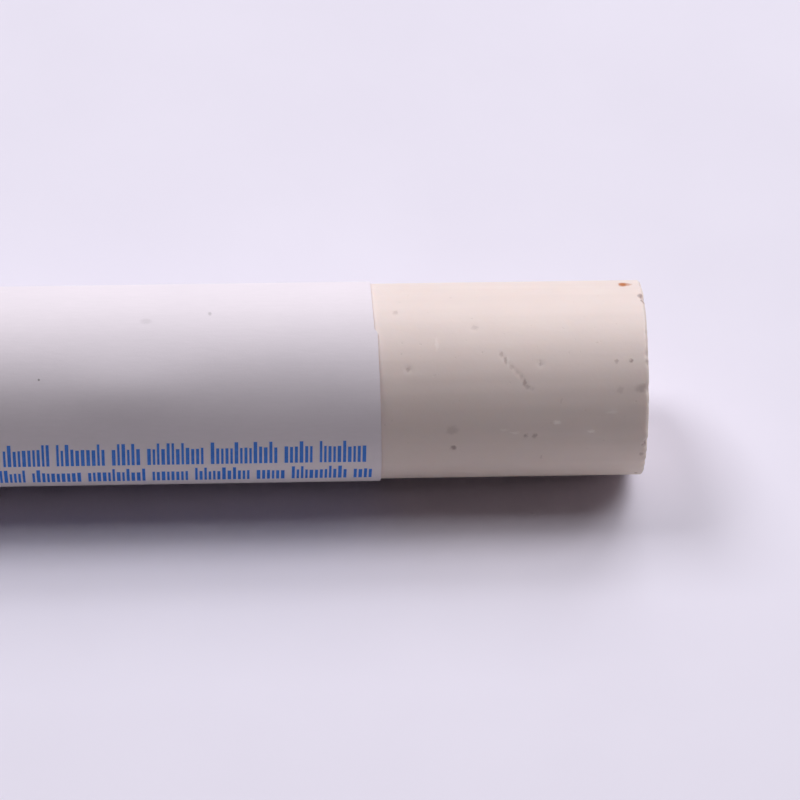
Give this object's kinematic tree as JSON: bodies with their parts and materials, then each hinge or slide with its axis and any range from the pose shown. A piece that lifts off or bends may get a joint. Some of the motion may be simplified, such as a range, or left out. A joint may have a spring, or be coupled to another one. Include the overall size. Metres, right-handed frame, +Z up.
{
  "type": "furniture repair wax stick",
  "caption": "Round bar of hard repair wax, bare at its tip, in a thin rolled paper sleeve that is lapped, glued along the back and slides along the bar.",
  "frame": {"origin": "centre of the part's base, on the surface that the stick lies on", "axes": "+X along the bar towards the bare tip, +Z up, +Y towards the seam of the sleeve"},
  "size_m": [0.085, 0.0114, 0.0113],
  "materials": {
    "wax": "satin, waxy, slightly translucent",
    "paper": "smooth uncoated white",
    "glue": "dried clear glue film"
  },
  "bodies": {
    "wax": {"wax_stick": "wax"},
    "sleeve": {"paper_sleeve": "paper", "glue_seam": "glue"}
  },
  "joints": [
    {"name": "sleeve_slide", "type": "slide", "parent": "wax", "child": "sleeve", "axis": [-1, 0, 0], "range_m": [-0.015, 0.055]}
  ]
}
